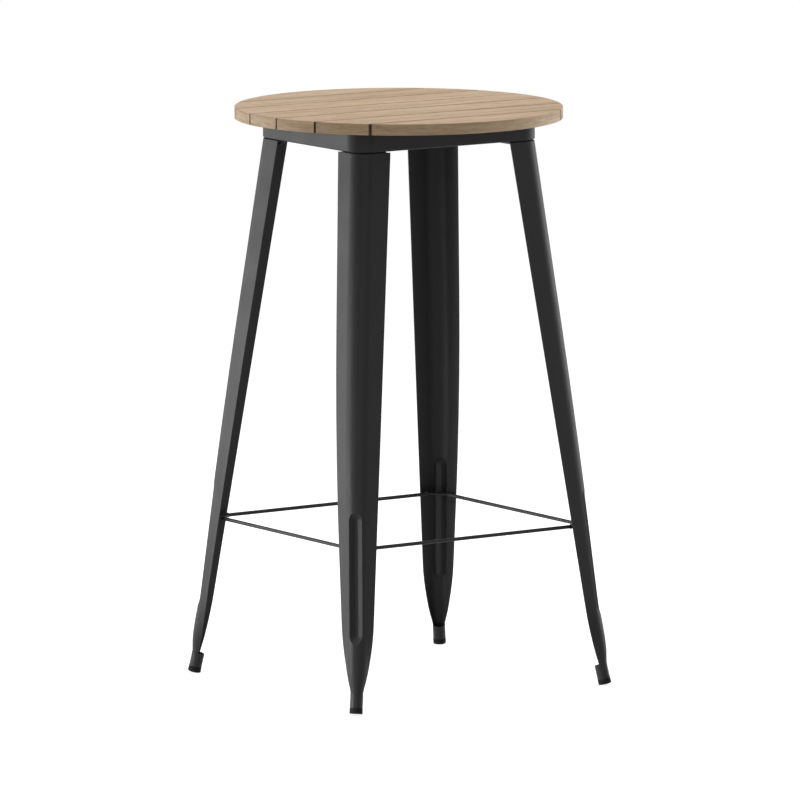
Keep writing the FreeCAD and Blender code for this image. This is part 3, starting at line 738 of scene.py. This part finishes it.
@dataclass
class Apron:
    """The pressed ring under the top, with its corner plates, battens and screws."""

    batten_names: tuple[str, ...] = ("left", "middle", "right")
    bead_radius: float = 1.4 * MM

    def build(self, coat: bpy.types.Material) -> None:
        """Adds the weld beads that hold the corner plates in the ring.

        Args:
            coat: The finish of the beads.
        """
        bead = WeldBead(self.bead_radius)
        for corner in Corner:
            near, far = corner.reach("corner_plate")
            middle = (near + far) / 2
            shape = bmesh.new()
            runs = (((far.x, near.y), (far.x, middle.y)), ((near.x, far.y), (middle.x, far.y)))
            for number, run in enumerate(runs):
                bead.add(shape, [corner.place(x, y, far.z) for x, y in run], seed=number)
            shown_piece(f"apron_welds_{corner.label}", shape, coat)

    def dress(self, coat: bpy.types.Material, zinc: bpy.types.Material) -> None:
        """Dresses everything between the legs and the planks.

        Args:
            coat: The finish of the ring, plates and battens.
            zinc: The finish of the screws.
        """
        dress("apron_frame", coat)
        for corner in Corner:
            dress(f"corner_plate_{corner.label}", coat)
        for name in self.batten_names:
            dress(f"batten_{name}", coat)
        for node in ("plank_screws", "batten_screws"):
            dress(node, zinc)
        LOG.info("dressed the apron, its corner plates, battens and screws")


@dataclass
class Leg:
    """One pressed leg with the plate on its upper end and its foot."""

    corner: Corner
    tube_radius: float = 11.7 * MM
    lean_share: float = 0.16
    bead_radius: float = 0.6 * MM
    bead_half_turn: float = math.radians(88)
    arc_steps: int = 24
    seed: int = 11

    def tube_axis(self) -> Vector:
        """The foot tube's way up, as at the back right."""
        return Vector((-self.lean_share, -self.lean_share, 1)).normalized()

    def tube_top(self) -> Vector:
        """Finds the upper end of the foot tube.

        Returns:
            The middle of its upper rim, as at the back right.
        """
        near, far = self.corner.reach("foot_tube")
        axis = self.tube_axis()
        tilted = 2 * self.tube_radius * math.sin(math.acos(axis.z))
        return (near + far) / 2 + axis * ((far.z - near.z - tilted) / axis.z / 2)

    def build(self, coat: bpy.types.Material) -> None:
        """Adds the weld bead between the leg and its foot tube.

        Args:
            coat: The finish of the bead.
        """
        axis, top = self.tube_axis(), self.tube_top()
        across = Vector((1, -1, 0)).normalized()
        out = across.cross(axis).normalized()
        out = out if out.x > 0 else -out
        path = []
        for step in range(self.arc_steps + 1):
            turn = self.bead_half_turn * (2 * step / self.arc_steps - 1)
            point = top + self.tube_radius * (out * math.cos(turn) + across * math.sin(turn))
            path.append(self.corner.place(*point))
        shape = bmesh.new()
        WeldBead(self.bead_radius).add(shape, path, self.seed)
        shown_piece(f"foot_weld_{self.corner.label}", shape, coat)

    def dress(self, coat: bpy.types.Material, rubber: bpy.types.Material) -> None:
        """Dresses the leg.

        Args:
            coat: The finish of the steel.
            rubber: The finish of the cap.
        """
        for node in ("leg", "leg_plate", "foot_tube"):
            dress(f"{node}_{self.corner.label}", coat)
        dress(f"foot_cap_{self.corner.label}", rubber)
        LOG.info("dressed the leg at the %s", self.corner.label)


@dataclass
class LegFasteners:
    """The bolts, nuts and washers that hold the legs to the corner plates."""

    nodes: tuple[str, ...] = ("leg_bolts", "leg_nuts", "leg_washers")

    def dress(self, plating: bpy.types.Material) -> None:
        """Gives every fastener its plating.

        Args:
            plating: The finish.
        """
        for node in self.nodes:
            dress(node, plating)
        LOG.info("dressed the bolts, nuts and washers of the legs")


@dataclass
class Footrest:
    """The four rods and the four plates inside the legs."""

    sides: tuple[str, ...] = ("back", "front", "right", "left")
    bead_radius: float = 1.2 * MM
    corner_radius: float = 24 * MM
    ring_steps: int = 24
    plate_seed: int = 31
    ring_seed: int = 41

    def build(self, coat: bpy.types.Material) -> None:
        """Adds the beads round the rods' ends and along the plates.

        Args:
            coat: The finish of the beads.
        """
        bead = WeldBead(self.bead_radius)
        for corner in Corner:
            shape = bmesh.new()
            near, far = corner.reach("footrest_plate")
            runs = (((far.x, near.y), (far.x, far.y - self.corner_radius)),
                    ((near.x, far.y), (far.x - self.corner_radius, far.y)))
            for number, run in enumerate(runs):
                bead.add(shape, [corner.place(x, y, far.z) for x, y in run], self.plate_seed + number)
            rods = ("back" if corner.value[1] > 0 else "front", "right" if corner.value[0] > 0 else "left")
            for along, side in enumerate(rods):
                bead.add(shape, self._ring(corner, side, along), self.ring_seed + along)
            shown_piece(f"footrest_welds_{corner.label}", shape, coat)

    def _ring(self, corner: Corner, side: str, along: int) -> list[Vector]:
        """Goes round one end of a rod.

        Args:
            corner: The corner where the end is.
            side: The table's side that the rod is on.
            along: 0 for a rod along X, 1 for one along Y.

        Returns:
            Points round the end, from the first to the first again.
        """
        low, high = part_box(f"footrest_rod_{side}")
        middle = (low + high) / 2
        radius = (high.z - low.z) / 2
        middle[along] = high[along] * corner.value[along]
        path = []
        for step in range(self.ring_steps):
            turn = 2 * math.pi * step / self.ring_steps
            offset = Vector((0, 0, math.sin(turn) * radius))
            offset[1 - along] = math.cos(turn) * radius
            path.append(middle + offset)
        return path + [path[0].copy()]

    def dress(self, coat: bpy.types.Material) -> None:
        """Dresses the rods and plates.

        Args:
            coat: The finish of both.
        """
        for side in self.sides:
            dress(f"footrest_rod_{side}", coat)
        for corner in Corner:
            dress(f"footrest_plate_{corner.label}", coat)
        LOG.info("dressed the footrest")


@dataclass(frozen=True)
class SoftBox:
    """A rectangular studio lamp that faces a point, with its beam's spread in degrees."""

    name: str
    place: Point
    aim: Point
    width: float
    height: float
    power: float
    spread: float = 180.0

    def build(self) -> None:
        """Puts the lamp in the scene, unseen by the camera."""
        lamp = bpy.data.lights.new(self.name, "AREA")
        lamp.shape = "RECTANGLE"
        lamp.size = self.width
        lamp.size_y = self.height
        lamp.energy = self.power
        lamp.spread = math.radians(self.spread)
        holder = bpy.data.objects.new(self.name, lamp)
        holder.location = self.place
        way = Vector(self.aim) - Vector(self.place)
        holder.rotation_euler = way.to_track_quat("-Z", "Y").to_euler()
        holder.visible_camera = False
        bpy.context.scene.collection.objects.link(holder)
        LOG.info("lit %s", self.name)


@dataclass
class Studio:
    """The floor, the white surroundings, the lamps and the camera."""

    floor_reach: float = 6.0
    floor_white: float = 0.6
    floor_glow: float = 0.74
    shadow_start: float = 0.5
    shadow_reach: float = 1.6
    floor_bounce: float = 0.05
    ambient: float = 0.08
    camera_azimuth: float = -34.297
    camera_distance: float = 16.291
    camera_height: float = 2.8929
    camera_pitch: float = 8.284
    camera_yaw: float = 0.008
    lens: float = 401.8
    sensor: float = 36.0
    clip_end: float = 100.0
    soft_boxes: tuple[SoftBox, ...] = (
        SoftBox("overhead_box", (0.0, 0.4, 3.6), (0.0, 0.0, 1.0), 3.0, 3.0, 66.0),
        SoftBox("back_left_box", (-1.7, 2.35, 0.68), (0.0, 0.0, 0.6), 1.2, 1.2, 39.0),
        SoftBox("left_box", (-3.2, 0.85, 1.0), (0.0, 0.0, 0.7), 1.8, 2.0, 10.0),
        SoftBox("low_left_box", (-3.0, 0.7, 0.4), (-0.25, -0.2, 0.12), 0.9, 0.9, 4.2, 31.0),
        SoftBox("front_box", (-1.0, -3.0, 1.6), (0.0, 0.0, 0.7), 1.4, 1.6, 12.0),
        SoftBox("right_box", (3.05, -0.4, 1.3), (0.0, 0.0, 0.7), 1.6, 2.4, 62.0),
    )

    @staticmethod
    def _plain_view(tree: Tree) -> Socket:
        """Tells the rays that see things from the rays that light them.

        Args:
            tree: The tree that asks.

        Returns:
            1 for rays from the camera, mirrors and glass, and 0 for the others.
        """
        path = tree.add("LightPath").outputs
        seen = tree.result("MAXIMUM", path["Is Camera Ray"], path["Is Glossy Ray"])
        return tree.result("MAXIMUM", seen, path["Is Transmission Ray"])

    def build_world(self) -> None:
        """White surroundings to look at, and a softer light from all sides."""
        world = bpy.data.worlds.new("studio")
        world.use_nodes = True
        bpy.context.scene.world = world
        tree = Tree(world.node_tree)
        light = tree.add("Background", {"Color": WHITE, "Strength": self.ambient})
        white = tree.add("Background", {"Color": WHITE, "Strength": 1.0})
        both = tree.add("MixShader", {0: self._plain_view(tree), 1: light.outputs[0], 2: white.outputs[0]})
        tree.add("OutputWorld", {"Surface": both.outputs[0]})

    def floor_material(self) -> bpy.types.Material:
        """A pale finish that keeps the object's shadow and turns white further out.

        Returns:
            The finished material.
        """
        material, tree = new_material("pale_floor")
        cast = tree.add("BsdfDiffuse", {"Color": (self.floor_white,) * 3 + (1,)})
        away = tree.add("VectorMath", {0: tree.object_place()}, operation="LENGTH").outputs["Value"]
        seen = tree.add("MapRange", {"Value": away, "From Min": self.shadow_start,
                                     "From Max": self.shadow_reach, "To Min": self.floor_glow,
                                     "To Max": 1.0}).outputs["Result"]
        glow = tree.add("MapRange", {"Value": self._plain_view(tree), "To Min": self.floor_bounce,
                                     "To Max": seen}).outputs["Result"]
        lit = tree.add("Emission", {"Color": WHITE, "Strength": glow})
        both = tree.add("AddShader", {0: cast.outputs[0], 1: lit.outputs[0]})
        tree.add("OutputMaterial", {"Surface": both.outputs[0]})
        return material

    def build_floor(self) -> None:
        """A square floor under the table."""
        mesh = bpy.data.meshes.new("floor")
        reach = self.floor_reach
        corners = [(-reach, -reach, 0), (reach, -reach, 0), (reach, reach, 0), (-reach, reach, 0)]
        mesh.from_pydata(corners, [], [(0, 1, 2, 3)])
        mesh.materials.append(self.floor_material())
        floor = bpy.data.objects.new("floor", mesh)
        bpy.context.scene.collection.objects.link(floor)

    def build_camera(self) -> None:
        """The camera at the photograph's place."""
        turn, pitch = math.radians(self.camera_azimuth), math.radians(self.camera_pitch)
        data = bpy.data.cameras.new("camera")
        data.lens = self.lens
        data.sensor_width = self.sensor
        data.clip_end = self.clip_end
        camera = bpy.data.objects.new("camera", data)
        camera.location = (self.camera_distance * math.sin(turn), -self.camera_distance * math.cos(turn),
                           self.camera_height)
        heading = math.radians(self.camera_yaw - self.camera_azimuth)
        look = Vector((math.sin(heading) * math.cos(pitch), math.cos(heading) * math.cos(pitch),
                       -math.sin(pitch)))
        camera.rotation_euler = look.to_track_quat("-Z", "Y").to_euler()
        bpy.context.scene.collection.objects.link(camera)
        bpy.context.scene.camera = camera

    def build(self) -> None:
        """Builds everything round the table."""
        self.build_world()
        self.build_floor()
        for soft_box in self.soft_boxes:
            soft_box.build()
        self.build_camera()
        bpy.context.scene.view_settings.view_transform = "Standard"
        LOG.info("built the studio")


def main() -> None:
    """Builds and dresses the table, and sets up the studio."""
    logging.basicConfig(level=logging.INFO, format="%(name)s: %(message)s")
    effects = Effects()
    coat = PowderCoat().material(effects)
    zinc = ZincPlate().material(effects)
    black_zinc = ZincPlate(name="black_zinc_plate", colour=(0.03, 0.03, 0.031), tarnish=(0.02, 0.02, 0.02),
                           roughness=0.5).material(effects)
    rubber = FootRubber().material(effects)
    TableTop().dress(effects)
    apron = Apron()
    apron.build(coat)
    apron.dress(coat, zinc)
    for corner in Corner:
        leg = Leg(corner)
        leg.build(coat)
        leg.dress(coat, rubber)
    LegFasteners().dress(black_zinc)
    footrest = Footrest()
    footrest.build(coat)
    footrest.dress(coat)
    Studio().build()


if __name__ == "__main__":
    main()
